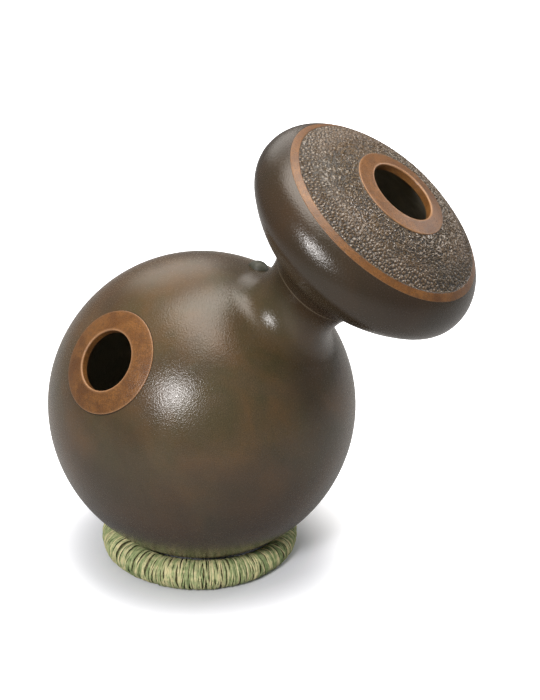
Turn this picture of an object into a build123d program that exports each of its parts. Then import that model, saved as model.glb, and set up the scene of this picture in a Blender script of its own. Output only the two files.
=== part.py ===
"""Udu drum: a clay pot drum with a leaning neck and a broad head, seated in a grass-wound ring.

The row frame has its origin on the floor at the middle of the ring, +Z up and +X the way the
neck leans. The clay is drawn in the drum's own frame, where the middle of the globe is the
origin and the neck rises along +Z, and is then tipped over and lowered into the ring.
All lengths are in millimetres and all angles in degrees.
"""

import os
from math import acos, asin, cos, degrees, hypot, radians, sin, sqrt

import numpy as np
from build123d import *

# ---- Clay vessel, in the drum's own frame ----
globe_radius = 135.0
wall = 6.5
neck_radius = 36.6
foot_radius = 29.3          # hollow curve from the globe up to the narrowest of the neck
shoulder_radius = 48.0      # hollow curve from the neck out under the head
underside_radius = 130.0    # round belly of the head's underside
head_radius = 106.5
face_edge_radius = 94.0     # outer edge of the band round the face
lower_rim_radius = 23.0     # roundness of the rim below its widest line
face_crown_radius = 200.0   # curvature of the middle of the struck face
face_top = 289.4            # top of the face if it had no hole, above the middle of the globe
face_crown_reach = 68.0     # the face turns down more steeply from here out
face_turn_radius = 100.0    # curvature of that outer part
band_width = 5.7
belly_seam_drop = 30.0      # the globe's two bowls meet this far below its middle
head_seam_height = 172.0
foot_seam_turn = 25.0       # the neck is luted on this far up its hollow foot
luting_gap = 0.1            # line of slip between two pieces of clay
neck_lean = 38.2            # from upright

# ---- Holes and their collars ----
face_hole_radius = 28.8
face_collar_radius = 42.4
side_hole_radius = 26.1
side_collar_radius = 45.0
side_hole_polar = 74.7      # from the neck, round the middle of the globe
side_hole_azimuth = -131.4  # round the neck, from the side that it leans to
collar_rise = 0.8           # how far a collar stands proud of the wall
lip_round = 1.6             # rounding of a hole's mouth
inner_lip_round = 1.0
collar_edge_round = 0.5

# ---- Rubber stopper in its stepped hole ----
stopper_head_radius = 9.2
stopper_stem_radius = 6.0
stopper_polar = 23.6
stopper_azimuth = 144.5
stopper_tilt = 6.0          # its hole leans from the neck this much more than the globe's surface
stopper_seat_depth = 3.0    # depth of the step below the clay's surface
stopper_rise = 6.6          # top of the dome above the clay's surface
stopper_dome_height = 5.4
stopper_stem_length = 8.0
stopper_fit = 0.08          # running clearance all round
stopper_edge_round = 0.6

# ---- Grass-wound ring ----
ring_radius = 74.8          # middle of the ring to the middle of its roll
roll_radius = 13.0
wrap_diameter = 2.4
wrap_strands = 5
wrap_loops = 24             # loops of each strand round the roll
wrap_clearance = 0.3        # wrap to core
wrap_flat_depth = 0.5       # the wrap is pressed flat where it stands on the floor
wrap_free_end = 0.35        # share of a loop left out between a strand's two ends
wrap_start = 180.0          # angle round the roll where a strand starts, 180 is inside
points_per_loop = 48        # for measuring the clear space between turns
edge_match = 0.01           # an edge this near a corner of its outline is that corner's
seat_clearance = 0.3        # globe to wrap


# ---- What follows from the sizes above ----
def on_circle(centre, radius, angle):
    """Point of a circle in the (radius, height) half plane."""
    return (centre[0] + radius * cos(radians(angle)), centre[1] + radius * sin(radians(angle)))


def angle_to(centre, target):
    """Direction from one point of the half plane to another."""
    step_r = target[0] - centre[0]
    step_h = target[1] - centre[1]
    angle = degrees(acos(step_r / hypot(step_r, step_h)))
    return angle if step_h >= 0 else -angle


def circle_meeting(centre_a, radius_a, centre_b, radius_b):
    """Where two circles of the half plane meet, on the side nearer the axis."""
    step_r = centre_b[0] - centre_a[0]
    step_h = centre_b[1] - centre_a[1]
    apart = hypot(step_r, step_h)
    along = (radius_a**2 - radius_b**2 + apart**2) / (2 * apart)
    aside = sqrt(radius_a**2 - along**2)
    meetings = []
    for side in (aside, -aside):
        meetings.append((centre_a[0] + (along * step_r - side * step_h) / apart,
                         centre_a[1] + (along * step_h + side * step_r) / apart))
    return min(meetings)


globe_centre = (0.0, 0.0)
throat_height = sqrt((globe_radius + foot_radius)**2 - (neck_radius + foot_radius)**2)
foot_centre = (neck_radius + foot_radius, throat_height)
shoulder_centre = (neck_radius + shoulder_radius, throat_height)
face_centre = (0.0, face_top - face_crown_radius)
crown_angle = degrees(acos(face_crown_reach / face_crown_radius))
turn_centre = on_circle(face_centre, face_crown_radius - face_turn_radius, crown_angle)
face_edge_angle = degrees(acos((face_edge_radius - turn_centre[0]) / face_turn_radius))
band_inner_angle = degrees(acos((face_edge_radius - band_width - turn_centre[0]) / face_turn_radius))
rim_radius = (head_radius - face_edge_radius) / (1 - cos(radians(face_edge_angle)))
rim_centre = on_circle(turn_centre, face_turn_radius - rim_radius, face_edge_angle)
lower_rim_centre = (head_radius - lower_rim_radius, rim_centre[1])
underside_centre = circle_meeting(lower_rim_centre, underside_radius - lower_rim_radius,
                                  shoulder_centre, underside_radius + shoulder_radius)

foot_angle = angle_to(globe_centre, foot_centre)
shoulder_angle = angle_to(shoulder_centre, underside_centre)
underside_angle = angle_to(underside_centre, lower_rim_centre)


def contour(depth, face_edge):
    """Vessel outline at a depth below its outer surface, from the globe's pole to the face."""
    globe = globe_radius - depth
    foot = foot_radius + depth
    shoulder = shoulder_radius + depth
    underside = underside_radius - depth
    lower_rim = lower_rim_radius - depth
    rim = rim_radius - depth
    turn = face_turn_radius - depth
    crown = face_crown_radius - depth
    crown_end = degrees(acos(face_edge / crown))
    outline = [
        CenterArc(globe_centre, globe, -90, 90 + foot_angle),
        CenterArc(foot_centre, foot, 180 + foot_angle, -foot_angle),
        CenterArc(shoulder_centre, shoulder, 180, shoulder_angle - 180),
        CenterArc(underside_centre, underside, shoulder_angle - 180,
                  underside_angle - (shoulder_angle - 180)),
        CenterArc(lower_rim_centre, lower_rim, underside_angle, -underside_angle),
        CenterArc(rim_centre, rim, 0, face_edge_angle),
        CenterArc(turn_centre, turn, face_edge_angle, crown_angle - face_edge_angle),
        CenterArc(face_centre, crown, crown_angle, crown_end - crown_angle),
    ]
    return outline


def turned(outline):
    """Solid turned about the drum's own axis from a closed outline in the half plane."""
    face = make_face(Plane.XZ * Curve(outline))
    return revolve(face, Axis.Z, 360)


def seam(centre, angle, surface_radius):
    """Thin ring that parts the wall square to its surface, a line of slip thick."""
    reach = 2 * wall
    inner = on_circle(centre, surface_radius - reach, angle)
    outer = on_circle(centre, surface_radius + reach, angle)
    half = luting_gap / 2
    aside = (-half * sin(radians(angle)), half * cos(radians(angle)))
    corners = [
        (inner[0] + aside[0], inner[1] + aside[1]),
        (outer[0] + aside[0], outer[1] + aside[1]),
        (outer[0] - aside[0], outer[1] - aside[1]),
        (inner[0] - aside[0], inner[1] - aside[1]),
    ]
    return turned([Polyline(*corners, close=True)])


def pointing(polar, azimuth):
    """Turn that takes +Z to a direction given by its angle from the neck and round it."""
    return Location((0, 0, 0), (0, 0, azimuth)) * Location((0, 0, 0), (0, polar, 0))


def round_edge(solid, radius, corner):
    """Round the circular edge that one corner of a turned outline made."""
    picked = []
    for edge in solid.edges().filter_by(GeomType.CIRCLE):
        if hypot(edge.radius - corner[0], edge.center().Z - corner[1]) < edge_match:
            picked.append(edge)
    return fillet(picked, radius)


def collar(dome_height, dome_radius, hole_radius, outer_radius):
    """Clay ring let through a domed wall: a turned annulus, proud of the wall, with soft edges.

    The wall is a ball of dome_radius whose middle is at dome_height on the turning axis.
    """
    middle_radius = (hole_radius + outer_radius) / 2

    def on_dome(radius, surface):
        return (radius, dome_height + sqrt(surface**2 - radius**2))

    proud = dome_radius + collar_rise
    flush = dome_radius - wall
    top_hole = on_dome(hole_radius, proud)
    top_edge = on_dome(outer_radius, proud)
    low_hole = on_dome(hole_radius, flush)
    low_edge = on_dome(outer_radius, flush)
    ring = turned([
        ThreePointArc(top_hole, on_dome(middle_radius, proud), top_edge),
        Line(top_edge, low_edge),
        ThreePointArc(low_edge, on_dome(middle_radius, flush), low_hole),
        Line(low_hole, top_hole),
    ])
    ring = round_edge(ring, lip_round, top_hole)
    ring = round_edge(ring, inner_lip_round, low_hole)
    return round_edge(ring, collar_edge_round, top_edge)


def vessel_pieces():
    """The pot's wall, turned whole and parted at its seams, from the globe's bottom upwards."""
    opening = face_collar_radius + luting_gap
    outer = contour(0, opening)
    inner = contour(wall, opening)
    closing = [Line(outer[0] @ 0, inner[0] @ 0), Line(outer[-1] @ 1, inner[-1] @ 1)]
    vessel = turned(outer + inner + closing)
    belly_angle = -degrees(asin(belly_seam_drop / globe_radius))
    foot_seam_angle = 180 + foot_angle - foot_seam_turn
    head_seam_angle = 180 - degrees(asin((head_seam_height - throat_height) / shoulder_radius))
    vessel -= seam(globe_centre, belly_angle, globe_radius)
    vessel -= seam(foot_centre, foot_seam_angle, foot_radius)
    vessel -= seam(shoulder_centre, head_seam_angle, shoulder_radius)
    vessel -= seam(turn_centre, face_edge_angle, face_turn_radius)
    vessel -= seam(turn_centre, band_inner_angle, face_turn_radius)
    return vessel.solids().sort_by(Axis.Z)


def stopper_hole():
    """Stepped hole for the stopper, drawn with the clay's surface at zero height: a wide seat
    near the surface and a narrow way through."""
    seat = Pos(0, 0, -stopper_seat_depth) * Cylinder(
        stopper_head_radius + stopper_fit, 2 * wall, align=(Align.CENTER, Align.CENTER, Align.MIN))
    way_through = Pos(0, 0, -2 * wall) * Cylinder(
        stopper_stem_radius + stopper_fit, 3 * wall, align=(Align.CENTER, Align.CENTER, Align.MIN))
    return seat + way_through


def stopper():
    """Rubber stopper: a domed head on a round stem, turned in one outline from the same height."""
    seat_floor = -stopper_seat_depth
    dome_top = stopper_rise
    dome_edge = dome_top - stopper_dome_height
    dome_radius = (stopper_head_radius**2 + stopper_dome_height**2) / (2 * stopper_dome_height)
    dome_middle = stopper_head_radius / 2
    dome_height = dome_top - dome_radius + sqrt(dome_radius**2 - dome_middle**2)
    stem_end = seat_floor - stopper_stem_length
    body = turned([
        ThreePointArc((0, dome_top), (dome_middle, dome_height), (stopper_head_radius, dome_edge)),
        Polyline((stopper_head_radius, dome_edge), (stopper_head_radius, seat_floor),
                 (stopper_stem_radius, seat_floor), (stopper_stem_radius, stem_end),
                 (0, stem_end), (0, dome_top)),
    ])
    body = round_edge(body, stopper_edge_round, (stopper_head_radius, dome_edge))
    return round_edge(body, stopper_edge_round, (stopper_stem_radius, stem_end))


# ---- Ring ----
roll_height = roll_radius - wrap_flat_depth
wrap_path_radius = roll_radius - wrap_diameter / 2
core_radius = roll_radius - wrap_diameter - wrap_clearance


def wrap_place(loops, strand):
    """Place of the middle of a strand, some loops after its start."""
    round_ring = radians(360 * (loops + strand / wrap_strands) / wrap_loops)
    round_roll = radians(wrap_start + 360 * loops)
    reach = ring_radius + wrap_path_radius * cos(round_roll)
    return Vector(reach * cos(round_ring), reach * sin(round_ring),
                  roll_height + wrap_path_radius * sin(round_roll))


def wrap_heading(loops, strand):
    """Direction in which a strand runs at that place."""
    step = 1e-4
    return (wrap_place(loops + step, strand) - wrap_place(loops - step, strand)).normalized()


def biarc(start, start_heading, end, end_heading):
    """Two arcs that leave one point and reach the next, smooth all the way."""
    chord = end - start
    headings = start_heading + end_heading
    slack = 2 * (1 - start_heading.dot(end_heading))
    across = chord.dot(headings)
    reach = (-across + sqrt(across**2 + slack * chord.dot(chord))) / slack
    joint = (start + end + (start_heading - end_heading) * reach) * 0.5
    joint_heading = (end - start - headings * reach).normalized()
    return [TangentArc(start, joint, tangent=start_heading),
            TangentArc(joint, end, tangent=joint_heading)]


def wrap_strand(strand):
    """One strand of the wrap, an unbroken tube that winds all the way round the ring."""
    quarter = 0.25
    last_loop = wrap_loops - wrap_free_end
    steps = round(last_loop / quarter)
    stations = [last_loop * step / steps for step in range(steps + 1)]
    first = wrap_place(0, strand)
    last = wrap_place(last_loop, strand)
    first_heading = wrap_heading(0, strand)
    last_heading = wrap_heading(last_loop, strand)
    path = [Line(first - first_heading * wrap_diameter, first)]
    for here, there in zip(stations, stations[1:]):
        path += biarc(wrap_place(here, strand), wrap_heading(here, strand),
                      wrap_place(there, strand), wrap_heading(there, strand))
    path.append(Line(last, last + last_heading * wrap_diameter))
    wire = Wire(path)
    section = Plane(wire @ 0, z_dir=wire % 0) * Circle(wrap_diameter / 2)
    tube = sweep(section, path=wire)
    return split(tube, bisect_by=Plane.XY, keep=Keep.TOP), wire


def least_gap(strand_points):
    """Least clear space between the turns of the wrap, measured on points along its middle."""
    every_point = np.concatenate(strand_points)
    strand_of = np.concatenate([np.full(len(points), number)
                                for number, points in enumerate(strand_points)])
    order = np.concatenate([np.arange(len(points)) for points in strand_points])
    half_loop = points_per_loop / 2
    least = roll_radius
    for number, point in enumerate(every_point):
        far_along = (strand_of != strand_of[number]) | (abs(order - order[number]) > half_loop)
        apart = np.linalg.norm(every_point[far_along] - point, axis=1)
        least = min(least, apart.min() - wrap_diameter)
    return least


# ---- Build, place and write ----
parts = {}

globe_lower_bowl, globe_upper_bowl, neck, head_bowl, face_band, face_dome = vessel_pieces()
to_side_hole = pointing(side_hole_polar, side_hole_azimuth)
to_stopper = (pointing(stopper_polar, stopper_azimuth) * Pos(0, 0, globe_radius)
              * Location((0, 0, 0), (0, stopper_tilt, 0)))
side_opening = Cylinder(side_collar_radius + luting_gap, 2 * globe_radius,
                        align=(Align.CENTER, Align.CENTER, Align.MIN))
globe_upper_bowl -= to_side_hole * side_opening
globe_upper_bowl -= to_stopper * stopper_hole()

drum_pieces = {
    "globe_lower_bowl": globe_lower_bowl,
    "globe_upper_bowl": globe_upper_bowl,
    "neck": neck,
    "head_bowl": head_bowl,
    "face_band": face_band,
    "face_dome": face_dome,
    "face_hole_collar": collar(face_centre[1], face_crown_radius, face_hole_radius, face_collar_radius),
    "side_hole_collar": to_side_hole * collar(0, globe_radius, side_hole_radius, side_collar_radius),
    "stopper": to_stopper * stopper(),
}

seat_reach = globe_radius + seat_clearance + roll_radius
globe_height = roll_height + sqrt(seat_reach**2 - ring_radius**2)
lean_and_lift = Location((0, 0, globe_height), (0, neck_lean, 0))
for name, piece in drum_pieces.items():
    parts[name] = lean_and_lift * piece

parts["ring_core"] = Pos(0, 0, roll_height) * Torus(ring_radius, core_radius)
strand_points = []
for strand in range(wrap_strands):
    tube, wire = wrap_strand(strand)
    parts[f"ring_wrap_{strand + 1}"] = tube
    count = wrap_loops * points_per_loop
    strand_points.append(np.array([tuple(wire @ (step / count)) for step in range(count + 1)]))

print(f"least gap in the wrap {least_gap(strand_points):.2f} mm")
print(f"globe height {globe_height:.2f} mm")

os.makedirs("parts", exist_ok=True)
for name, piece in parts.items():
    piece.label = name
    export_step(piece, f"parts/{name}.step")
    box = piece.bounding_box()
    print(f"{name:18} {len(piece.solids())} solid, {piece.volume / 1000:8.2f} cm3, "
          f"z {box.min.Z:7.2f} to {box.max.Z:7.2f}")
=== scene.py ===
from math import acos, cos, degrees, hypot, pi, radians, sin, sqrt

import bmesh
import bpy
from mathutils import Matrix, Vector, noise


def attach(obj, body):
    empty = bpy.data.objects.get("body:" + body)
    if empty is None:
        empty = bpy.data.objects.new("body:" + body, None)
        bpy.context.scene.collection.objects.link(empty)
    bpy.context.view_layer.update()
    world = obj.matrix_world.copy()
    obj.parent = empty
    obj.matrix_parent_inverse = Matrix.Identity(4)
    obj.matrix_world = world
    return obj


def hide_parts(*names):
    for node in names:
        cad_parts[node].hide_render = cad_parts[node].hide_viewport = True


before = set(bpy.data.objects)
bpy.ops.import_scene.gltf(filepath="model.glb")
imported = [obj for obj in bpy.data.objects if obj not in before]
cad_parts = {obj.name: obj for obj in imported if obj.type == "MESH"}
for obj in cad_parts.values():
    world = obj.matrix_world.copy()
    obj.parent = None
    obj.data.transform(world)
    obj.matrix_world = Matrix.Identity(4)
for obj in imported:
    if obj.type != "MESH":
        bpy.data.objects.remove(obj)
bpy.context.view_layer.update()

# ---- Ring core ----
# The ring that the drum stands in is a hank of dry grass stalks, bent round and twisted a little.
# Only slits of it show, dark between the blades wound over it. The ring has slumped out of round
# to one side, and its roll is thinner on another.
mm = 0.001
ring_radius = 74.8
roll_height = 12.5
core_radius = 10.4
bulge_reach = 5.5
bulge_roll_share = 0.12
bulge_azimuth = -113.6
thin_azimuth = 20.0
thinnest_share = 0.76
stalk_ridges = 11
stalk_ridge_height = 0.5
stalk_twists = 5
stalk_fibre_scale = 900.0
stalk_fibre_depth = 0.4
core_steps_round_ring = 220
core_steps_round_roll = 66


def paint(red, green, blue):
    """Colour as a shader takes it, from the red, green and blue of a paint card (0 to 255)."""
    channels = []
    for level in (red, green, blue):
        share = level / 255
        channels.append(share / 12.92 if share <= 0.04045 else ((share + 0.055) / 1.055) ** 2.4)
    return (*channels, 1.0)


def plug(tree, node, inputs):
    """Fill a node's inputs. Another node's socket is joined to the input, anything else is its value."""
    for name, value in inputs.items():
        if isinstance(value, bpy.types.NodeSocket):
            tree.links.new(value, node.inputs[name])
        else:
            node.inputs[name].default_value = value


def put(tree, kind, inputs=None, **settings):
    """Add a node with its settings and its inputs."""
    node = tree.nodes.new(kind)
    for name, value in settings.items():
        setattr(node, name, value)
    plug(tree, node, inputs or {})
    return node


def speckle(tree, place, scale, detail, roughness=0.5, distortion=0.0):
    """Cloudy noise from 0 to 1 at a place."""
    return put(tree, "ShaderNodeTexNoise", {"Vector": place, "Scale": scale, "Detail": detail,
                                            "Roughness": roughness, "Distortion": distortion}).outputs["Fac"]


def ramp(tree, factor, stops):
    """Colour picked from a row of stops by a factor."""
    node = put(tree, "ShaderNodeValToRGB", {"Fac": factor})
    elements = node.color_ramp.elements
    for number, (place, colour) in enumerate(stops):
        element = elements[number] if number < 2 else elements.new(place)
        element.position = place
        element.color = colour
    return node.outputs["Color"]


def bumped(tree, height, strength, depth):
    """Normal of a surface with a fine relief, its depth in millimetres."""
    return put(tree, "ShaderNodeBump", {"Height": height, "Strength": strength,
                                        "Distance": depth * mm}).outputs["Normal"]


def new_material(name):
    """Empty material, its tree and its Principled shader."""
    material = bpy.data.materials.new(name)
    material.use_nodes = True
    tree = material.node_tree
    return material, tree, tree.nodes["Principled BSDF"]


def add_piece(name, vertices, faces, material):
    """Object at the origin with its place in its mesh."""
    mesh = bpy.data.meshes.new(name)
    mesh.from_pydata(vertices, [], faces)
    mesh.materials.append(material)
    mesh.shade_smooth()
    piece = bpy.data.objects.new(name, mesh)
    bpy.context.scene.collection.objects.link(piece)
    return piece


def level_way(angle):
    """Level direction at an angle in radians."""
    return Vector((cos(angle), sin(angle), 0.0))


damp_stalk = paint(66, 66, 40)
dry_stalk = paint(122, 118, 78)

grass_core, core_tree, core_shader = new_material("grass core")
core_place = put(core_tree, "ShaderNodeTexCoord").outputs["Object"]
core_fibres = speckle(core_tree, core_place, stalk_fibre_scale, 3.0)
plug(core_tree, core_shader, {
    "Base Color": ramp(core_tree, core_fibres, [(0.35, damp_stalk), (0.65, dry_stalk)]),
    "Roughness": 0.8,
    "Normal": bumped(core_tree, core_fibres, 0.6, stalk_fibre_depth),
})

bulge_way = level_way(radians(bulge_azimuth))
thin_way = level_way(radians(thin_azimuth))
core_points = []
core_faces = []
for step in range(core_steps_round_ring):
    round_ring = 2 * pi * step / core_steps_round_ring
    way = level_way(round_ring)
    toward_bulge = max(0.0, way.dot(bulge_way))
    toward_thin = max(0.0, way.dot(thin_way))
    slumped_radius = ring_radius + bulge_reach * toward_bulge
    roll_share = 1 + bulge_roll_share * toward_bulge - (1 - thinnest_share) * toward_thin**2
    row = step * core_steps_round_roll
    next_row = (step + 1) % core_steps_round_ring * core_steps_round_roll
    for turn in range(core_steps_round_roll):
        round_roll = 2 * pi * turn / core_steps_round_roll
        ridge = stalk_ridge_height * sin(stalk_ridges * round_roll + stalk_twists * round_ring)
        reach = slumped_radius + roll_share * (core_radius + ridge) * cos(round_roll)
        height = roll_share * (roll_height + (core_radius + ridge) * sin(round_roll))
        core_points.append((reach * way.x * mm, reach * way.y * mm, height * mm))
        next_turn = (turn + 1) % core_steps_round_roll
        core_faces.append((row + turn, next_row + turn, next_row + next_turn, row + next_turn))
ring_core = add_piece("grass_core", core_points, core_faces, grass_core)
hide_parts("ring_core")
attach(ring_core, "ring")

# ---- Grass winding ----
# Long flat blades of green and straw grass, wound tightly round the core by hand, so they lie
# at slightly different angles, cross each other and are pressed in where the globe sits.
globe_radius = 135.0
globe_height = 140.554
press_clearance = 0.5
blade_path_radius = 12.1
wide_blades = {"Blades": 250, "Blade width": 2.0 * mm, "Blade thickness": 0.8 * mm,
               "Slant": 0.15, "Lift": 0.045, "Seed": 3}
thin_blades = {"Blades": 230, "Blade width": 1.1 * mm, "Blade thickness": 0.7 * mm,
               "Slant": 0.24, "Lift": 0.07, "Seed": 11}
slant_across = 0.6
narrowest_blade = 0.6
widest_blade = 1.35
blade_steps = 40
blade_corners = 6
roll_unevenness = 0.1
roll_unevenness_size = 60.0
blade_waver = 1.2
blade_waver_scale = 190.0
fibres_across = 2600.0
fibres_along = 9.0
fibre_shift = 500.0
fibre_depth = 0.3
blotch_scale = 260.0
blotch_share = 0.24
streak_share = 0.12


def reckon(tree, operation, first, second=0.0):
    """Result of a sum on one or two values."""
    return put(tree, "ShaderNodeMath", {0: first, 1: second}, operation=operation).outputs[0]


def reckon_way(tree, operation, first, second=None):
    """Result of a sum on vectors. SCALE takes a plain value, and LENGTH and DOT_PRODUCT give one."""
    inputs = {0: first}
    if operation == "SCALE":
        inputs["Scale"] = second
    elif second is not None:
        inputs[1] = second
    outputs = put(tree, "ShaderNodeVectorMath", inputs, operation=operation).outputs
    return outputs["Value"] if operation in ("LENGTH", "DOT_PRODUCT") else outputs[0]


def fade(tree, value, low, high, at_low=0.0, at_high=1.0):
    """Value spread smoothly from at_low to at_high while it goes from low to high."""
    return put(tree, "ShaderNodeMapRange", {"Value": value, "From Min": low, "From Max": high,
                                            "To Min": at_low, "To Max": at_high},
               interpolation_type="SMOOTHSTEP").outputs["Result"]


def tint(tree, factor, first, second):
    """Two colours mixed by a factor."""
    return put(tree, "ShaderNodeMix", {0: factor, 6: first, 7: second}, data_type="RGBA").outputs[2]


def new_group(name, kind, inputs, outputs):
    """Empty node group with named sockets, and the sockets of what it is given."""
    group = bpy.data.node_groups.new(name, kind)
    for in_out, sockets in (("INPUT", inputs), ("OUTPUT", outputs)):
        for socket_name, socket_type in sockets.items():
            group.interface.new_socket(socket_name, in_out=in_out, socket_type="NodeSocket" + socket_type)
    return group, group.nodes.new("NodeGroupInput").outputs


def marked(tree, geometry, name, value, domain="POINT"):
    """Geometry that carries a value under a name."""
    return put(tree, "GeometryNodeStoreNamedAttribute", {"Geometry": geometry, "Name": name, "Value": value},
               domain=domain).outputs[0]


def mark_of(tree, name):
    """Value that a piece carries under a name, for its material."""
    return put(tree, "ShaderNodeAttribute", attribute_name=name).outputs["Fac"]


def drawn(tree, low, high, seed, seed_step):
    """Random value between two, new for each copy."""
    own_seed = reckon(tree, "ADD", seed, seed_step)
    return put(tree, "FunctionNodeRandomValue", {2: low, 3: high, "Seed": own_seed}).outputs[1]


def astray(tree, place, scale, reach):
    """Small shift in a cloudy direction, up to half of a reach in millimetres."""
    cloud = put(tree, "ShaderNodeTexNoise", {"Vector": place, "Scale": scale, "Detail": 1.0})
    centred = reckon_way(tree, "SUBTRACT", cloud.outputs["Color"], (0.5, 0.5, 0.5))
    return reckon_way(tree, "SCALE", centred, reach * mm)


winding, given = new_group("grass winding", "GeometryNodeTree", {
    "Blades": "Int", "Blade width": "Float", "Blade thickness": "Float", "Slant": "Float",
    "Lift": "Float", "Seed": "Int", "Ring radius": "Float", "Path radius": "Float",
    "Roll height": "Float", "Grass": "Material",
}, {"Geometry": "Geometry"})
place = put(winding, "GeometryNodeInputPosition").outputs[0]

# One blade: a flattened ring of grass with its length and breadth marked on it.
blade_path = put(winding, "GeometryNodeCurvePrimitiveCircle",
                 {"Resolution": blade_steps, "Radius": given["Path radius"]}).outputs["Curve"]
path_share = put(winding, "GeometryNodeSplineParameter").outputs["Factor"]
blade_outline = put(winding, "GeometryNodeCurvePrimitiveCircle",
                    {"Resolution": blade_corners, "Radius": 0.5}).outputs["Curve"]
blade_size = put(winding, "ShaderNodeCombineXYZ", {"X": given["Blade thickness"], "Y": given["Blade width"],
                                                   "Z": 1.0}).outputs[0]
blade_section = put(winding, "GeometryNodeTransform", {"Geometry": blade_outline,
                                                       "Scale": blade_size}).outputs["Geometry"]
blade = put(winding, "GeometryNodeCurveToMesh",
            {"Curve": marked(winding, blade_path, "along_blade", path_share),
             "Profile Curve": blade_section}).outputs["Mesh"]
across_blade = put(winding, "ShaderNodeSeparateXYZ", {"Vector": place}).outputs["Z"]
marked_blade = marked(winding, blade, "across_blade", across_blade)

# Blades all round the ring, each slanted, lifted and broadened by chance.
ring_line = put(winding, "GeometryNodeMeshCircle", {"Vertices": given["Blades"],
                                                    "Radius": given["Ring radius"]}).outputs["Mesh"]
outward = reckon_way(winding, "NORMALIZE", place)
along_ring = reckon_way(winding, "CROSS_PRODUCT", (0.0, 0.0, 1.0), outward)
square_on = put(winding, "FunctionNodeAxesToRotation",
                {"Primary Axis": along_ring, "Secondary Axis": outward},
                primary_axis="Z", secondary_axis="X").outputs[0]
slant_low = reckon_way(winding, "SCALE", (-1.0, -slant_across, 0.0), given["Slant"])
slant_high = reckon_way(winding, "SCALE", (1.0, slant_across, 0.0), given["Slant"])
slant = put(winding, "FunctionNodeRandomValue", {0: slant_low, 1: slant_high, "Seed": given["Seed"]},
            data_type="FLOAT_VECTOR").outputs[0]
slant_turn = put(winding, "FunctionNodeEulerToRotation", {"Euler": slant}).outputs[0]
blade_turn = put(winding, "FunctionNodeRotateRotation", {"Rotation": square_on, "Rotate By": slant_turn},
                 rotation_space="LOCAL").outputs[0]
lift_high = reckon(winding, "ADD", given["Lift"], 1.0)
lift = drawn(winding, 1.0, lift_high, given["Seed"], 1.0)
width = drawn(winding, narrowest_blade, widest_blade, given["Seed"], 2.0)
tone = drawn(winding, 0.0, 1.0, given["Seed"], 3.0)
blade_scale = put(winding, "ShaderNodeCombineXYZ", {"X": lift, "Y": lift, "Z": width}).outputs[0]
blades = put(winding, "GeometryNodeInstanceOnPoints",
             {"Points": ring_line, "Instance": marked_blade, "Rotation": blade_turn,
              "Scale": blade_scale}).outputs["Instances"]
toned = marked(winding, blades, "blade_tone", tone, "INSTANCE")
wound = put(winding, "GeometryNodeRealizeInstances", {"Geometry": toned}).outputs[0]

# The wound roll swells and thins with the core, and is pressed in by the globe and the floor.
flat_out = reckon_way(winding, "NORMALIZE", reckon_way(winding, "MULTIPLY", place, (1.0, 1.0, 0.0)))
roll_middle = reckon_way(winding, "SCALE", flat_out, given["Ring radius"])
from_roll = reckon_way(winding, "SUBTRACT", place, roll_middle)
bulge_share = reckon(winding, "MAXIMUM", reckon_way(winding, "DOT_PRODUCT", flat_out, bulge_way), 0.0)
thin_share = reckon(winding, "MAXIMUM", reckon_way(winding, "DOT_PRODUCT", flat_out, thin_way), 0.0)
bulge_here = reckon(winding, "MULTIPLY", bulge_share, bulge_reach * mm)
bulged = reckon_way(winding, "SCALE", flat_out, bulge_here)
fat_share = reckon(winding, "ADD", 1.0, reckon(winding, "MULTIPLY", bulge_share, bulge_roll_share))
thinned = reckon(winding, "MULTIPLY", reckon(winding, "POWER", thin_share, 2.0), 1 - thinnest_share)
roll_here = reckon(winding, "SUBTRACT", fat_share, thinned)
lumps = speckle(winding, roll_middle, 1 / (roll_unevenness_size * mm), 0.0)
swell = reckon(winding, "MULTIPLY", roll_here, fade(winding, lumps, 0.2, 0.8, 1 - roll_unevenness, 1.0))
swelled = reckon_way(winding, "SCALE", from_roll, swell)
wavered = astray(winding, place, blade_waver_scale, blade_waver)
height_here = reckon(winding, "MULTIPLY", given["Roll height"], roll_here)
roll_lift = put(winding, "ShaderNodeCombineXYZ", {"Z": height_here}).outputs[0]
laid = roll_middle
for shift in (swelled, bulged, wavered, roll_lift):
    laid = reckon_way(winding, "ADD", laid, shift)
globe_middle = (0.0, 0.0, globe_height * mm)
from_globe = reckon_way(winding, "SUBTRACT", laid, globe_middle)
clear_reach = reckon(winding, "MAXIMUM", reckon_way(winding, "LENGTH", from_globe),
                     (globe_radius + press_clearance) * mm)
globe_way = reckon_way(winding, "NORMALIZE", from_globe)
pressed = reckon_way(winding, "ADD", reckon_way(winding, "SCALE", globe_way, clear_reach), globe_middle)
on_floor = reckon_way(winding, "MAXIMUM", pressed, (-1.0, -1.0, 0.0))
settled = put(winding, "GeometryNodeSetPosition", {"Geometry": wound, "Position": on_floor}).outputs[0]
smooth = put(winding, "GeometryNodeSetShadeSmooth", {"Geometry": settled}).outputs[0]
covered = put(winding, "GeometryNodeSetMaterial", {"Geometry": smooth, "Material": given["Grass"]}).outputs[0]
put(winding, "NodeGroupOutput", {"Geometry": covered})

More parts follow.
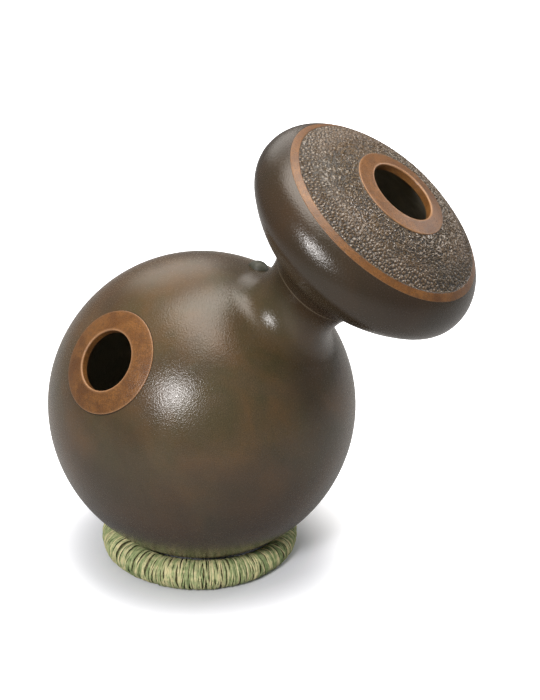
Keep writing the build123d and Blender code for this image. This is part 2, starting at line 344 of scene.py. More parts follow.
grass_wrap, wrap_tree, wrap_shader = new_material("grass blades")
blade_tone = mark_of(wrap_tree, "blade_tone")
fibre_place = put(wrap_tree, "ShaderNodeCombineXYZ", {
    "X": reckon(wrap_tree, "MULTIPLY", mark_of(wrap_tree, "across_blade"), fibres_across),
    "Y": reckon(wrap_tree, "MULTIPLY", mark_of(wrap_tree, "along_blade"), fibres_along),
    "Z": reckon(wrap_tree, "MULTIPLY", blade_tone, fibre_shift),
}).outputs[0]
fibres = speckle(wrap_tree, fibre_place, 1.0, 3.0)
blotches = speckle(wrap_tree, put(wrap_tree, "ShaderNodeTexCoord").outputs["Object"], blotch_scale, 2.0)
tone_here = reckon(wrap_tree, "ADD", blade_tone,
                   fade(wrap_tree, blotches, 0.3, 0.7, -blotch_share, blotch_share))
tone_here = reckon(wrap_tree, "ADD", tone_here,
                   fade(wrap_tree, fibres, 0.3, 0.7, -streak_share, streak_share))
green_to_straw = [
    (0.0, paint(138, 156, 104)),
    (0.25, paint(168, 182, 126)),
    (0.5, paint(190, 198, 144)),
    (0.75, paint(214, 212, 158)),
    (1.0, paint(238, 228, 176)),
]
dark_fibre = paint(108, 116, 76)
plug(wrap_tree, wrap_shader, {
    "Base Color": tint(wrap_tree, fade(wrap_tree, fibres, 0.25, 0.5, 0.3, 0.0),
                       ramp(wrap_tree, tone_here, green_to_straw), dark_fibre),
    "Roughness": fade(wrap_tree, fibres, 0.2, 0.8, 0.75, 0.5),
    "Normal": bumped(wrap_tree, fibres, 0.5, fibre_depth),
})


def settled_mesh(piece):
    """Turn what a piece's modifiers make into its own plain mesh, and drop the modifiers."""
    shown = piece.evaluated_get(bpy.context.evaluated_depsgraph_get())
    mesh = bpy.data.meshes.new_from_object(shown)
    piece.modifiers.clear()
    piece.data = mesh
    mesh.name = piece.name


def shaped_by(piece, tree, sizes):
    """Let Geometry Nodes shape a piece, with their named inputs set."""
    modifier = piece.modifiers.new(tree.name, "NODES")
    modifier.node_group = tree
    for item in tree.interface.items_tree:
        if item.item_type == "SOCKET" and item.in_out == "INPUT" and item.name in sizes:
            modifier[item.identifier] = sizes[item.name]
    settled_mesh(piece)


for winding_name, blade_sizes, nodes in [
    ("grass_wrap_wide", wide_blades, ("ring_wrap_1", "ring_wrap_2", "ring_wrap_3")),
    ("grass_wrap_thin", thin_blades, ("ring_wrap_4", "ring_wrap_5")),
]:
    wrap = add_piece(winding_name, [], [], grass_wrap)
    shaped_by(wrap, winding, {"Ring radius": ring_radius * mm, "Path radius": blade_path_radius * mm,
                              "Roll height": roll_height * mm, "Grass": grass_wrap, **blade_sizes})
    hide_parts(*nodes)
    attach(wrap, "ring")

# ---- Clay vessel ----
# Globe, neck and head are one pot of dark clay: thrown in pieces, luted together with slip, burnished
# with a stone before the firing and smoked. Holes are cut through it for the side collar and the stopper.
# The clay's colour also carries painted shade: darker low on the pot and under the head, and a thin dark line
# round the side opening.
wall = 6.5
neck_radius = 36.6
foot_radius = 29.3
shoulder_radius = 48.0
underside_radius = 130.0
head_radius = 106.5
face_edge_radius = 94.0
lower_rim_radius = 23.0
face_crown_radius = 200.0
face_top = 289.4
face_crown_reach = 68.0
face_turn_radius = 100.0
neck_lean = 38.2
head_seam_height = 172.0
side_hole_polar = 74.7
side_hole_azimuth = -131.4
side_opening_radius = 45.1
stopper_polar = 23.6
stopper_azimuth = 144.5
stopper_tilt = 6.0
stopper_seat_radius = 9.28
stopper_way_radius = 6.08
stopper_seat_depth = 3.0
outer_step = 3.0
inner_step = 5.0
vessel_steps = 224
hole_steps = 128
on_axis = 0.01
hand_unevenness = 0.45
hand_unevenness_size = 85.0
hand_unevenness_seed = 5
sharp_edge_angle = 30.0
# painted shade: the pot darkens towards the bottom, and up the neck into the underside of the head
low_shade_deepest_at = -110.0
low_shade_ends_at = 40.0
neck_shade_from = 140.0
neck_shade_to = 180.0
seam_line_inner = 0.2
seam_line_outer = 0.9
# painted shadow: width of the dark line on the globe round the side opening
gap_shadow_width = 1.0
smoke_to_cloud_scale = 0.55
smoke_aside = (1.7, 3.1, 0.4)


def on_circle(centre, radius, angle):
    """Point of a circle in the (radius, height) half plane."""
    return (centre[0] + radius * cos(radians(angle)), centre[1] + radius * sin(radians(angle)))


def angle_to(centre, target):
    """Direction from one point of the half plane to another."""
    step_r = target[0] - centre[0]
    step_h = target[1] - centre[1]
    angle = degrees(acos(step_r / hypot(step_r, step_h)))
    return angle if step_h >= 0 else -angle


def circle_meeting(centre_a, radius_a, centre_b, radius_b):
    """Where two circles of the half plane meet, on the side nearer the axis."""
    step_r = centre_b[0] - centre_a[0]
    step_h = centre_b[1] - centre_a[1]
    apart = hypot(step_r, step_h)
    along_line = (radius_a**2 - radius_b**2 + apart**2) / (2 * apart)
    aside = sqrt(radius_a**2 - along_line**2)
    meetings = []
    for side in (aside, -aside):
        meetings.append((centre_a[0] + (along_line * step_r - side * step_h) / apart,
                         centre_a[1] + (along_line * step_h + side * step_r) / apart))
    return min(meetings)


globe_centre = (0.0, 0.0)
throat_height = sqrt((globe_radius + foot_radius) ** 2 - (neck_radius + foot_radius) ** 2)
foot_centre = (neck_radius + foot_radius, throat_height)
shoulder_centre = (neck_radius + shoulder_radius, throat_height)
face_centre = (0.0, face_top - face_crown_radius)
crown_angle = degrees(acos(face_crown_reach / face_crown_radius))
turn_centre = on_circle(face_centre, face_crown_radius - face_turn_radius, crown_angle)
face_edge_angle = degrees(acos((face_edge_radius - turn_centre[0]) / face_turn_radius))
rim_radius = (head_radius - face_edge_radius) / (1 - cos(radians(face_edge_angle)))
rim_centre = on_circle(turn_centre, face_turn_radius - rim_radius, face_edge_angle)
lower_rim_centre = (head_radius - lower_rim_radius, rim_centre[1])
underside_centre = circle_meeting(lower_rim_centre, underside_radius - lower_rim_radius,
                                  shoulder_centre, underside_radius + shoulder_radius)
foot_angle = angle_to(globe_centre, foot_centre)
shoulder_angle = angle_to(shoulder_centre, underside_centre)
underside_angle = angle_to(underside_centre, lower_rim_centre)


def arc(centre, radius, start, sweep, step):
    """Points of an arc of the half plane, a step apart."""
    count = max(2, round(abs(radians(sweep)) * radius / step))
    return [on_circle(centre, radius, start + sweep * number / count) for number in range(count + 1)]


def vessel_line(depth, step):
    """Outline of the pot at a depth below its surface, from the globe's bottom to the edge of the band."""
    line = arc(globe_centre, globe_radius - depth, -90, 90 + foot_angle, step)
    line += arc(foot_centre, foot_radius + depth, 180 + foot_angle, -foot_angle, step / 2)[1:]
    line += arc(shoulder_centre, shoulder_radius + depth, 180, shoulder_angle - 180, step)[1:]
    line += arc(underside_centre, underside_radius - depth, shoulder_angle - 180,
                underside_angle - (shoulder_angle - 180), step)[1:]
    line += arc(lower_rim_centre, lower_rim_radius - depth, underside_angle, -underside_angle, step / 2)[1:]
    line += arc(rim_centre, rim_radius - depth, 0, face_edge_angle, step / 2)[1:]
    return line


def turned(name, line, steps, material, marks=None):
    """Piece turned about the neck's axis from its outline. marks gives a value for each point of it."""
    open_ended = line[0][0] < on_axis and line[-1][0] < on_axis
    points = []
    rows = []
    for reach, height in line:
        if reach < on_axis:
            rows.append([len(points)])
            points.append((0.0, 0.0, height * mm))
            continue
        rows.append(list(range(len(points), len(points) + steps)))
        for step in range(steps):
            angle = 2 * pi * step / steps
            points.append((reach * cos(angle) * mm, reach * sin(angle) * mm, height * mm))
    faces = []
    pairs = list(zip(rows, rows[1:])) + ([] if open_ended else [(rows[-1], rows[0])])
    for low, high in pairs:
        for step in range(steps):
            after = (step + 1) % steps
            if len(low) == 1:
                faces.append((low[0], high[after], high[step]))
            elif len(high) == 1:
                faces.append((low[step], low[after], high[0]))
            else:
                faces.append((low[step], low[after], high[after], high[step]))
    piece = add_piece(name, points, faces, material)
    for mark, values in (marks or {}).items():
        attribute = piece.data.attributes.new(mark, "FLOAT", "POINT")
        for row, value in zip(rows, values):
            for number in row:
                attribute.data[number].value = value
    return piece


def face_outwards(piece, turn=Matrix.Identity(4)):
    """Turn a piece, and make its faces point outwards."""
    shape = bmesh.new()
    shape.from_mesh(piece.data)
    bmesh.ops.transform(shape, matrix=turn, verts=shape.verts)
    bmesh.ops.recalc_face_normals(shape, faces=shape.faces)
    shape.to_mesh(piece.data)
    shape.free()


neck_turn = Matrix.Rotation(radians(neck_lean), 4, "Y")
noise.seed_set(hand_unevenness_seed)


def finish_clay(piece, turn=Matrix.Identity(4)):
    """Face outwards, give the maker's unevenness, and seat the piece where the leaning drum stands."""
    shape = bmesh.new()
    shape.from_mesh(piece.data)
    bmesh.ops.transform(shape, matrix=turn, verts=shape.verts)
    for vertex in shape.verts:
        waver = noise.noise_vector(vertex.co / (hand_unevenness_size * mm))
        vertex.co += waver * hand_unevenness * mm
    bmesh.ops.recalc_face_normals(shape, faces=shape.faces)
    for edge in shape.edges:
        edge.smooth = edge.calc_face_angle(0.0) < radians(sharp_edge_angle)
    lean = Matrix.Translation(globe_middle) @ neck_turn
    bmesh.ops.transform(shape, matrix=lean, verts=shape.verts)
    shape.to_mesh(piece.data)
    shape.free()
    piece.data.update()


def pointing(polar, azimuth):
    """Turn that takes +Z to a direction given by its angle from the neck and round it."""
    return Matrix.Rotation(radians(azimuth), 4, "Z") @ Matrix.Rotation(radians(polar), 4, "Y")


def cut_hole(piece, radius, from_height, to_height, turn):
    """Cut a round hole through a piece along the direction that a turn points in."""
    line = [(0.0, from_height), (radius, from_height), (radius, to_height), (0.0, to_height)]
    cutter = turned("cutter", line, hole_steps, None)
    face_outwards(cutter, turn)
    modifier = piece.modifiers.new("hole", "BOOLEAN")
    modifier.operation = "DIFFERENCE"
    modifier.solver = "EXACT"
    modifier.object = cutter
    settled_mesh(piece)
    bpy.data.objects.remove(cutter)


clay_grain, grain_given = new_group(
    "clay grain", "ShaderNodeTree", {"Grain size": "Float", "Cloud size": "Float"},
    {"Grain": "Float", "Specks": "Float", "Clouds": "Float", "Smoke": "Float"})
grain_place = put(clay_grain, "ShaderNodeTexCoord").outputs["Object"]
grain_scale = reckon(clay_grain, "DIVIDE", 1.0, grain_given["Grain size"])
cloud_scale = reckon(clay_grain, "DIVIDE", 1.0, grain_given["Cloud size"])
smoke_scale = reckon(clay_grain, "MULTIPLY", cloud_scale, smoke_to_cloud_scale)
grain_noise = speckle(clay_grain, grain_place, grain_scale, 2.5, 0.6)
speck_cells = put(clay_grain, "ShaderNodeTexVoronoi", {"Vector": grain_place, "Scale": grain_scale})
cloud_noise = speckle(clay_grain, grain_place, cloud_scale, 4.0, 0.55, 0.4)
smoke_place = reckon_way(clay_grain, "ADD", grain_place, smoke_aside)
smoke_noise = speckle(clay_grain, smoke_place, smoke_scale, 3.0, 0.5, 0.6)
put(clay_grain, "NodeGroupOutput", {
    "Grain": fade(clay_grain, grain_noise, 0.2, 0.8),
    "Specks": fade(clay_grain, speck_cells.outputs["Distance"], 0.32, 0.12),
    "Clouds": fade(clay_grain, cloud_noise, 0.32, 0.68),
    "Smoke": fade(clay_grain, smoke_noise, 0.42, 0.68),
})


def grain_of(tree, grain_size, cloud_size):
    """Outputs of the clay grain, at a grain and cloud size in millimetres."""
    return put(tree, "ShaderNodeGroup", {"Grain size": grain_size * mm, "Cloud size": cloud_size * mm},
               node_tree=clay_grain).outputs


def washed(tree, colour, washes):
    """Colour with washes laid over it in turn, each a factor and the colour that it brings."""
    for factor, wash in washes:
        colour = tint(tree, factor, colour, wash)
    return colour


olive_clay = paint(76, 68, 46)
brown_clay = paint(100, 76, 48)
pale_cloud = paint(88, 74, 56)
smoke_cloud = paint(62, 47, 35)
dark_grain = paint(42, 36, 28)
pale_speck = paint(132, 112, 88)
# painted shadow colour of the gap round the side collar
gap_shadow_colour = paint(34, 29, 23)
# painted shade colour for the lower body and under the head
painted_shade_colour = paint(42, 33, 26)
seam_clay = paint(128, 116, 98)
raw_inside = paint(172, 166, 148)

burnished_clay, clay_tree, clay_shader = new_material("burnished clay")
clay = grain_of(clay_tree, 1.4, 60.0)
fine = grain_of(clay_tree, 0.6, 14.0)
inside = mark_of(clay_tree, "inside")
upright = Vector((0.0, 0.0, 1.0))
neck_way = neck_turn @ upright
side_way = neck_turn @ pointing(side_hole_polar, side_hole_azimuth) @ upright
from_middle = reckon_way(clay_tree, "SUBTRACT", put(clay_tree, "ShaderNodeTexCoord").outputs["Object"],
                         globe_middle)
up_neck = reckon_way(clay_tree, "DOT_PRODUCT", from_middle, neck_way)
off_side_hole = reckon_way(clay_tree, "LENGTH", reckon_way(clay_tree, "CROSS_PRODUCT", from_middle, side_way))
# Painted shadow: a thin dark line on the globe round the side opening, where the gap by the proud collar lies
# in shade.
gap_shadow_line = fade(clay_tree, off_side_hole, side_opening_radius * mm,
                 (side_opening_radius + gap_shadow_width) * mm, 0.8, 0.0)
height_on_pot = put(clay_tree, "ShaderNodeSeparateXYZ", {"Vector": from_middle}).outputs["Z"]
# Painted shade: darker towards the bottom of the pot, and on the neck and the underside of the head, which
# the head shades.
painted_low_shade = fade(clay_tree, height_on_pot, low_shade_deepest_at * mm, low_shade_ends_at * mm, 0.5, 0.0)
painted_neck_shade = fade(clay_tree, up_neck, neck_shade_from * mm, neck_shade_to * mm, 0.0, 0.75)
off_seam = reckon(clay_tree, "ABSOLUTE", reckon(clay_tree, "SUBTRACT", up_neck, head_seam_height * mm))
seam_line = fade(clay_tree, off_seam, seam_line_inner * mm, seam_line_outer * mm, 0.6, 0.0)
clay_colour = washed(clay_tree, tint(clay_tree, clay["Clouds"], olive_clay, brown_clay), [
    (fade(clay_tree, fine["Clouds"], 0.0, 1.0, 0.0, 0.35), pale_cloud),
    (reckon(clay_tree, "MULTIPLY", clay["Smoke"], 0.55), smoke_cloud),
    (fade(clay_tree, fine["Grain"], 0.0, 1.0, 0.22, 0.0), dark_grain),
    (reckon(clay_tree, "MULTIPLY", clay["Specks"], 0.12), pale_speck),
    # painted shadow round the side opening
    (gap_shadow_line, gap_shadow_colour),
    # painted shade low on the pot and under the head
    (reckon(clay_tree, "MAXIMUM", painted_low_shade, painted_neck_shade), painted_shade_colour),
    (seam_line, seam_clay),
    (inside, raw_inside),
])
plug(clay_tree, clay_shader, {
    "Base Color": clay_colour,
    "Roughness": reckon(clay_tree, "ADD", fade(clay_tree, clay["Grain"], 0.0, 1.0, 0.29, 0.19),
                        reckon(clay_tree, "MULTIPLY", inside, 0.4)),
    "Normal": bumped(clay_tree, clay["Grain"], 0.7, 0.15),
})

outer_line = vessel_line(0, outer_step)
inner_line = vessel_line(wall, inner_step)
vessel = turned("clay_vessel", outer_line + inner_line[::-1], vessel_steps, burnished_clay,
                {"inside": [0.0] * len(outer_line) + [1.0] * len(inner_line)})
to_side_hole = pointing(side_hole_polar, side_hole_azimuth)
to_stopper = (pointing(stopper_polar, stopper_azimuth) @ Matrix.Translation((0, 0, globe_radius * mm))
              @ Matrix.Rotation(radians(stopper_tilt), 4, "Y"))
cut_hole(vessel, side_opening_radius, 0, 2 * globe_radius, to_side_hole)
cut_hole(vessel, stopper_seat_radius, -stopper_seat_depth, 2 * wall, to_stopper)
cut_hole(vessel, stopper_way_radius, -2 * wall, wall, to_stopper)
finish_clay(vessel)
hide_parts("globe_lower_bowl", "globe_upper_bowl", "neck", "head_bowl")
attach(vessel, "drum")

# ---- Side hole collar ----
# A flat ring of bare red clay let into the globe, a little proud of it, with a rounded mouth that
# the player's palm strikes. It is left unburnished, so it stays lighter and rough to the touch.
side_hole_radius = 26.1
side_collar_radius = 45.0
collar_rise = 0.8
lip_round = 1.6
inner_lip_round = 1.0
collar_edge_round = 0.5
collar_step = 1.5
collar_steps = 192


def eased(start, corner, end, count=6):
    """Soft corner between two points of an outline."""
    line = []
    for number in range(count + 1):
        share = number / count
        line.append(tuple((1 - share) ** 2 * a + 2 * share * (1 - share) * b + share**2 * c
                          for a, b, c in zip(start, corner, end)))
    return line


def collar(name, node, dome_height, dome_radius, hole_radius, outer_radius, turn, material):
    """Clay ring let through a domed wall, with a rounded mouth."""
    def on_dome(reach, surface):
        return (reach, dome_height + sqrt(surface**2 - reach**2))

    proud = dome_radius + collar_rise
    flush = dome_radius - wall
    top_width = outer_radius - hole_radius - lip_round - collar_edge_round
    back_width = outer_radius - hole_radius - inner_lip_round
    count = round((outer_radius - hole_radius) / collar_step)
    top_line = []
    back_line = []
    for number in range(count + 1):
        share = number / count
        top_line.append(on_dome(hole_radius + lip_round + share * top_width, proud))
        back_line.append(on_dome(outer_radius - share * back_width, flush))
    top_hole = on_dome(hole_radius, proud)
    top_edge = on_dome(outer_radius, proud)
    low_hole = on_dome(hole_radius, flush)
    mouth = eased((hole_radius, top_hole[1] - lip_round), top_hole, top_line[0])
    rim = eased(top_line[-1], top_edge, (outer_radius, top_edge[1] - collar_edge_round))
    back_lip = eased(back_line[-1], low_hole, (hole_radius, low_hole[1] + inner_lip_round))
    line = mouth + top_line[1:-1] + rim + back_line + back_lip[1:]
    worn = ([0.0] + [1.0] * (len(mouth) - 2) + [0.3] + [0.0] * (len(top_line) - 2) + [0.2]
            + [1.0] * (len(rim) - 2) + [0.3] + [0.0] * (len(back_line) + len(back_lip) - 1))
    piece = turned(name, line, collar_steps, material, {"worn": worn})
    finish_clay(piece, turn)
    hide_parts(node)
    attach(piece, "drum")


red_clay = paint(104, 66, 32)
bright_clay = paint(136, 92, 48)
dark_red_grain = paint(78, 52, 30)
dark_red_cloud = paint(86, 58, 34)
sandy_speck = paint(160, 120, 82)
worn_edge = paint(172, 130, 94)

bare_clay, bare_tree, bare_shader = new_material("bare red clay")
bare = grain_of(bare_tree, 0.9, 20.0)
bare_fine = grain_of(bare_tree, 1.0, 4.0)
worn_here = reckon(bare_tree, "MULTIPLY", mark_of(bare_tree, "worn"),
                   fade(bare_tree, bare["Grain"], 0.1, 0.6, 0.35, 0.75))
bare_colour = washed(bare_tree, tint(bare_tree, bare["Clouds"], red_clay, bright_clay), [
    (fade(bare_tree, bare_fine["Grain"], 0.1, 0.8, 0.65, 0.0), dark_red_grain),
    (fade(bare_tree, bare_fine["Clouds"], 0.1, 0.7, 0.4, 0.0), dark_red_cloud),
    (reckon(bare_tree, "MULTIPLY", bare["Specks"], 0.3), sandy_speck),
    (worn_here, worn_edge),
])
plug(bare_tree, bare_shader, {
    "Base Color": bare_colour,
    "Roughness": fade(bare_tree, bare["Grain"], 0.0, 1.0, 0.38, 0.26),
    "Normal": bumped(bare_tree, bare_fine["Grain"], 0.6, 0.2),
})

collar("side_collar", "side_hole_collar", 0.0, globe_radius, side_hole_radius, side_collar_radius,
       to_side_hole, bare_clay)

# ---- Struck face ----
# The domed face of the head, pressed all over with a pebbled texture while the clay was soft:
# round beads by the band, running into finer wrinkles towards the middle. The tops are polished.
# The hollows between the beads and along the wrinkles are painted dark as shade.
band_width = 5.7
face_collar_radius = 42.4
face_joint = 0.1
face_rows = 98
face_back_rows = 6
face_steps = 870
border_fade = 1.2
bead_size = 2.8
bead_depth = 1.1
bead_stray = 2.2
bead_stray_scale = 260.0
wrinkle_size = 2.2
wrinkle_depth = 1.0
wrinkle_draw = 36.0
wrinkle_width = 0.13
wrinkled_to = 58.0
beaded_from = 84.0


def face_line(depth, start_reach, rows):
    """Outline of the struck face at a depth, from the band in to the collar."""
    line = []
    end_reach = face_collar_radius + face_joint
    for number in range(rows + 1):
        reach = start_reach + (end_reach - start_reach) * number / rows
        turn_angle = degrees(acos((reach - turn_centre[0]) / (face_turn_radius - depth)))
        on_crown = degrees(acos(reach / (face_crown_radius - depth)))
        if turn_angle < crown_angle:
            line.append(on_circle(turn_centre, face_turn_radius - depth, turn_angle))
        else:
            line.append(on_circle(face_centre, face_crown_radius - depth, on_crown))
    return line


pebbling, asked = new_group("pebbling", "GeometryNodeTree", {
    "Geometry": "Geometry", "Bead size": "Float", "Bead depth": "Float", "Wrinkle size": "Float",
    "Wrinkle depth": "Float", "Wrinkled to": "Float", "Beaded from": "Float", "Clay": "Material",
}, {"Geometry": "Geometry"})
face_place = put(pebbling, "GeometryNodeInputPosition").outputs[0]
face_flat = reckon_way(pebbling, "MULTIPLY", face_place, (1.0, 1.0, 0.0))
face_reach = reckon_way(pebbling, "LENGTH", face_flat)
bead_share = fade(pebbling, face_reach, asked["Wrinkled to"], asked["Beaded from"])

# Beads: rounded cells, with deep joints between them.
strayed = reckon_way(pebbling, "ADD", face_flat, astray(pebbling, face_flat, bead_stray_scale, bead_stray))
bead_cells = {"Vector": strayed, "Scale": reckon(pebbling, "DIVIDE", 1.0, asked["Bead size"])}
bead_middle = put(pebbling, "ShaderNodeTexVoronoi", bead_cells, voronoi_dimensions="2D").outputs["Distance"]
bead_edge = put(pebbling, "ShaderNodeTexVoronoi", bead_cells, voronoi_dimensions="2D",
                feature="DISTANCE_TO_EDGE").outputs["Distance"]
bead = reckon(pebbling, "MULTIPLY", fade(pebbling, bead_middle, 0.0, 0.75, 1.0, 0.35),
              fade(pebbling, bead_edge, 0.0, 0.2))

# Wrinkles: thin creases, drawn out round the face.
face_out = reckon_way(pebbling, "NORMALIZE", face_flat)
drawn_round = reckon_way(pebbling, "SCALE", face_out, wrinkle_draw * mm)
reach_up = put(pebbling, "ShaderNodeCombineXYZ", {"Z": face_reach}).outputs[0]
wrinkle_place = reckon_way(pebbling, "ADD", drawn_round, reach_up)
wrinkle_scale = reckon(pebbling, "DIVIDE", 1.0, asked["Wrinkle size"])
wrinkle_noise = speckle(pebbling, wrinkle_place, wrinkle_scale, 1.5, 0.5, 0.6)
off_crease = reckon(pebbling, "ABSOLUTE", reckon(pebbling, "SUBTRACT", wrinkle_noise, 0.5))
wrinkle = fade(pebbling, off_crease, 0.0, wrinkle_width)

relief = put(pebbling, "ShaderNodeMix", {0: bead_share, 2: wrinkle, 3: bead}).outputs[0]
depth_here = put(pebbling, "ShaderNodeMix", {0: bead_share, 2: asked["Wrinkle depth"],
                                             3: asked["Bead depth"]}).outputs[0]
struck = put(pebbling, "GeometryNodeInputNamedAttribute", {"Name": "struck"}, data_type="FLOAT").outputs[0]
sunk = reckon(pebbling, "MULTIPLY", reckon(pebbling, "SUBTRACT", relief, 1.0), depth_here)
sunk = reckon(pebbling, "MULTIPLY", sunk, struck)
face_normal = put(pebbling, "GeometryNodeInputNormal").outputs["Normal"]
sunk_by = reckon_way(pebbling, "SCALE", face_normal, sunk)
pressed_face = put(pebbling, "GeometryNodeSetPosition",
                   {"Geometry": marked(pebbling, asked["Geometry"], "pebble", relief),
                    "Offset": sunk_by}).outputs[0]
clad_face = put(pebbling, "GeometryNodeSetMaterial", {"Geometry": pressed_face, "Material": asked["Clay"]})
put(pebbling, "NodeGroupOutput", {"Geometry": clad_face.outputs[0]})

olive_pebble = paint(72, 60, 44)
brown_pebble = paint(88, 69, 48)
polished_top = paint(104, 88, 68)
# painted shade colour of the hollows
crevice_shade = paint(18, 14, 10)

pebbled_clay, pebble_tree, pebble_shader = new_material("pebbled clay")
pebble_grain = grain_of(pebble_tree, 0.7, 45.0)
pebble = mark_of(pebble_tree, "pebble")
pebble_colour = washed(pebble_tree, tint(pebble_tree, pebble_grain["Clouds"], olive_pebble, brown_pebble), [
    (fade(pebble_tree, pebble, 0.55, 1.0, 0.0, 0.6), polished_top),
    # painted shade in the hollows
    (fade(pebble_tree, pebble, 0.05, 0.6, 0.92, 0.0), crevice_shade),
])
plug(pebble_tree, pebble_shader, {
    "Base Color": pebble_colour,
    "Roughness": fade(pebble_tree, pebble, 0.2, 0.9, 0.55, 0.15),
    "Specular IOR Level": 0.8,
    "Normal": bumped(pebble_tree, pebble_grain["Grain"], 0.35, 0.1),
})

face_start = face_edge_radius - band_width - face_joint
top_line = face_line(0.0, face_start, face_rows)
back_line = face_line(wall, face_start, face_back_rows)[::-1]
struck_marks = [min(1.0, (top_line[0][0] - reach) / border_fade, (reach - top_line[-1][0]) / border_fade)
                for reach, height in top_line] + [0.0] * len(back_line)
face = turned("pebbled_face", top_line + back_line, face_steps, pebbled_clay, {"struck": struck_marks})
face_outwards(face)
shaped_by(face, pebbling, {"Bead size": bead_size * mm, "Bead depth": bead_depth * mm,
                           "Wrinkle size": wrinkle_size * mm, "Wrinkle depth": wrinkle_depth * mm,
                           "Wrinkled to": wrinkled_to * mm, "Beaded from": beaded_from * mm,
                           "Clay": pebbled_clay})
finish_clay(face)
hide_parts("face_dome")
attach(face, "drum")

# ---- Band round the face ----
# A narrow band of bare red clay between the burnished rim and the pebbled face. It is the pot's own
# clay, scraped clean before the firing, and its edges are a little worn.
band_rise = 0.12
band_edge_round = 0.4
band_top_step = 0.5
band_back_step = 2.0
band_steps = 256
band_edge_wear = 0.8
band_worn_points = (2, 3, 4)

band_inner_angle = degrees(acos((face_edge_radius - band_width - turn_centre[0]) / face_turn_radius))
band_sweep = band_inner_angle - face_edge_angle
band_top = arc(turn_centre, face_turn_radius + band_rise, face_edge_angle, band_sweep, band_top_step)
band_back = arc(turn_centre, face_turn_radius - wall, face_edge_angle, band_sweep, band_back_step)
outer_side = on_circle(turn_centre, face_turn_radius - band_edge_round, face_edge_angle)
inner_side = on_circle(turn_centre, face_turn_radius - band_edge_round, band_inner_angle)
band_line = (eased(outer_side, band_top[0], band_top[1]) + band_top[2:-2]
             + eased(band_top[-2], band_top[-1], inner_side) + band_back[::-1])
band_worn = [band_edge_wear if number in band_worn_points else 0.0 for number in range(len(band_line))]
band_piece = turned("red_band", band_line, band_steps, bare_clay, {"worn": band_worn})
finish_clay(band_piece)
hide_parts("face_band")
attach(band_piece, "drum")

# ---- Face hole collar ----
# The same kind of red clay ring as the globe's, round the hole in the middle of the struck face.
# It is let through the face, stands a little proud of it and has the same rounded mouth.
face_hole_radius = 28.8

collar("face_collar", "face_hole_collar", face_centre[1], face_crown_radius, face_hole_radius,
       face_collar_radius, Matrix.Identity(4), bare_clay)

# ---- Stopper ----
# A small grey-green rubber stopper, with a domed head and a narrower stem. It is pushed into a
# stepped hole beside the neck, and pulled out to tune the drum.
stopper_head_radius = 9.2
stopper_stem_radius = 6.0
stopper_rise = 6.6
stopper_dome_height = 5.4
stopper_stem_length = 8.0
stopper_edge_round = 0.6
stopper_steps = 96
dome_steps = 10

grey_rubber = paint(52, 54, 44)
green_rubber = paint(70, 70, 58)
rubber_bloom = paint(116, 116, 100)

stopper_rubber, rubber_tree, rubber_shader = new_material("stopper rubber")
rubber = grain_of(rubber_tree, 0.9, 8.0)
rubber_colour = washed(rubber_tree, tint(rubber_tree, rubber["Clouds"], grey_rubber, green_rubber), [
    (reckon(rubber_tree, "MULTIPLY", rubber["Specks"], 0.4), rubber_bloom),
])
plug(rubber_tree, rubber_shader, {
    "Base Color": rubber_colour,
    "Roughness": fade(rubber_tree, rubber["Grain"], 0.0, 1.0, 0.6, 0.42),
    "Normal": bumped(rubber_tree, rubber["Grain"], 0.4, 0.1),
})

dome_edge = stopper_rise - stopper_dome_height
seat_floor = -stopper_seat_depth
stem_end = seat_floor - stopper_stem_length
dome_radius = (stopper_head_radius**2 + stopper_dome_height**2) / (2 * stopper_dome_height)
dome_line = []
for number in range(dome_steps + 1):
    reach = (stopper_head_radius - stopper_edge_round) * number / dome_steps
    dome_line.append((reach, stopper_rise - dome_radius + sqrt(dome_radius**2 - reach**2)))
stopper_line = (dome_line[:-1]
                + eased(dome_line[-1], (stopper_head_radius, dome_edge),
                        (stopper_head_radius, dome_edge - stopper_edge_round))
                + [(stopper_head_radius, seat_floor), (stopper_stem_radius, seat_floor)]
                + eased((stopper_stem_radius, stem_end + stopper_edge_round), (stopper_stem_radius, stem_end),
                        (stopper_stem_radius - stopper_edge_round, stem_end))
                + [(0.0, stem_end)])
stopper = turned("stopper_plug", stopper_line, stopper_steps, stopper_rubber)
finish_clay(stopper, to_stopper)
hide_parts("stopper")
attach(stopper, "stopper")

# ---- Floor, lights and camera ----
# A plain white studio floor in an even white surround, whose glow leaves only the shadow by the ring.
# Four soft lamps: a small one in front, a broad one above, and two weak ones behind the drum.
floor_reach = 12.0
mirrored_share = 0.05
surround_light = 0.22
near_glow_from = 80.0
near_glow_to = 175.0
near_glow_share = 0.8
far_glow_from = 400.0
far_glow_to = 1500.0
far_glow_share = 0.7
camera_lens = 102.857
camera_sensor = 36.0
camera_place = (0.6061, -1.4347, 0.9661)
camera_dip = 26.4
camera_turn = 20.7
lit_point = Vector((0.05, 0.0, 0.2))
plain_white = (1.0, 1.0, 1.0, 1.0)
lit_floor = paint(166, 167, 168)
seen_floor = paint(243, 246, 252)


def white_seen(tree):
    """Share of the white surround that a ray sees: all of it for the camera, a little in a gloss."""
    path = put(tree, "ShaderNodeLightPath").outputs
    mirrored = reckon(tree, "MULTIPLY", path["Is Glossy Ray"], mirrored_share)
    return reckon(tree, "MAXIMUM", path["Is Camera Ray"],
                  reckon(tree, "MAXIMUM", mirrored, path["Is Transmission Ray"]))


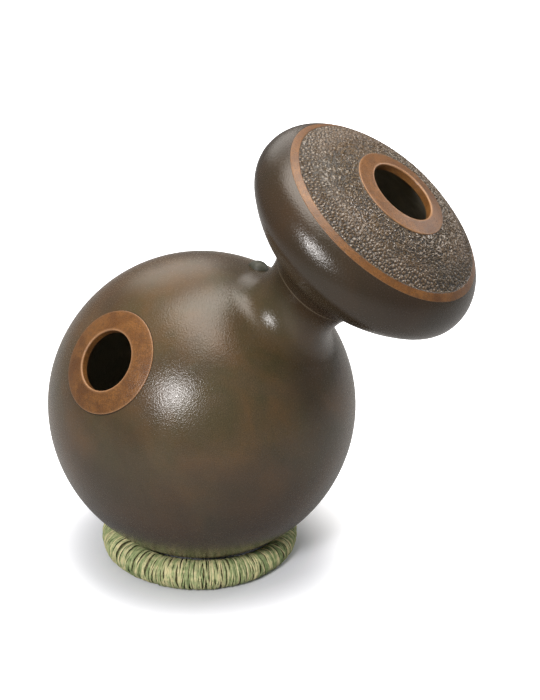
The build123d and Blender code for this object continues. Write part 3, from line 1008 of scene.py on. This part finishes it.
floor_paint, floor_tree, floor_shader = new_material("white floor")
floor_seen = white_seen(floor_tree)
plug(floor_tree, floor_shader, {"Base Color": tint(floor_tree, floor_seen, lit_floor, seen_floor),
                                "Roughness": 1.0, "Specular IOR Level": 0.0})
from_ring = reckon_way(floor_tree, "LENGTH", put(floor_tree, "ShaderNodeTexCoord").outputs["Object"])
near_glow = fade(floor_tree, from_ring, near_glow_from * mm, near_glow_to * mm, 0.0, near_glow_share)
far_glow = fade(floor_tree, from_ring, far_glow_from * mm, far_glow_to * mm, 0.0, far_glow_share)
glow_seen = reckon(floor_tree, "MULTIPLY", floor_seen, reckon(floor_tree, "ADD", near_glow, far_glow))
floor_glow = put(floor_tree, "ShaderNodeEmission", {"Color": plain_white, "Strength": glow_seen})
floor_sum = put(floor_tree, "ShaderNodeAddShader", {0: floor_shader.outputs[0], 1: floor_glow.outputs[0]})
plug(floor_tree, floor_tree.nodes["Material Output"], {"Surface": floor_sum.outputs[0]})
floor = add_piece("floor", [(-floor_reach, -floor_reach, 0), (floor_reach, -floor_reach, 0),
                            (floor_reach, floor_reach, 0), (-floor_reach, floor_reach, 0)],
                  [(0, 1, 2, 3)], floor_paint)

surround = bpy.data.worlds.new("white surround")
bpy.context.scene.world = surround
surround.use_nodes = True
sky_tree = surround.node_tree
plug(sky_tree, sky_tree.nodes["Background"],
     {"Color": plain_white, "Strength": reckon(sky_tree, "MAXIMUM", white_seen(sky_tree), surround_light)})


def softbox(name, direction, distance, width, height, power, colour):
    """Soft studio lamp that looks at the drum from a direction."""
    lamp = bpy.data.lights.new(name, "AREA")
    lamp.shape = "RECTANGLE"
    lamp.size = width
    lamp.size_y = height
    lamp.energy = power
    lamp.color = colour
    holder = bpy.data.objects.new(name, lamp)
    toward = Vector(direction).normalized()
    holder.location = lit_point + toward * distance
    holder.rotation_euler = (-toward).to_track_quat("-Z", "Y").to_euler()
    bpy.context.scene.collection.objects.link(holder)


softbox("front lamp", (-0.038, -0.857, 0.514), 1.7, 0.35, 0.35, 20.0, (1.0, 0.97, 0.96))
softbox("top lamp", (0.085, 0.11, 0.99), 1.5, 1.3, 1.3, 30.0, (1.0, 0.94, 0.86))
softbox("back left lamp", (-0.481, 0.686, 0.546), 1.8, 1.0, 1.0, 5.0, (1.0, 0.96, 0.9))
softbox("back right lamp", (0.54, 0.74, 0.4), 1.8, 0.6, 0.6, 4.5, (1.0, 0.96, 0.94))

camera_data = bpy.data.cameras.new("camera")
camera_data.lens = camera_lens
camera_data.sensor_width = camera_sensor
camera = bpy.data.objects.new("camera", camera_data)
camera.location = camera_place
camera.rotation_euler = (radians(90 - camera_dip), 0.0, radians(camera_turn))
bpy.context.scene.collection.objects.link(camera)
bpy.context.scene.camera = camera
bpy.context.scene.view_settings.view_transform = "Standard"
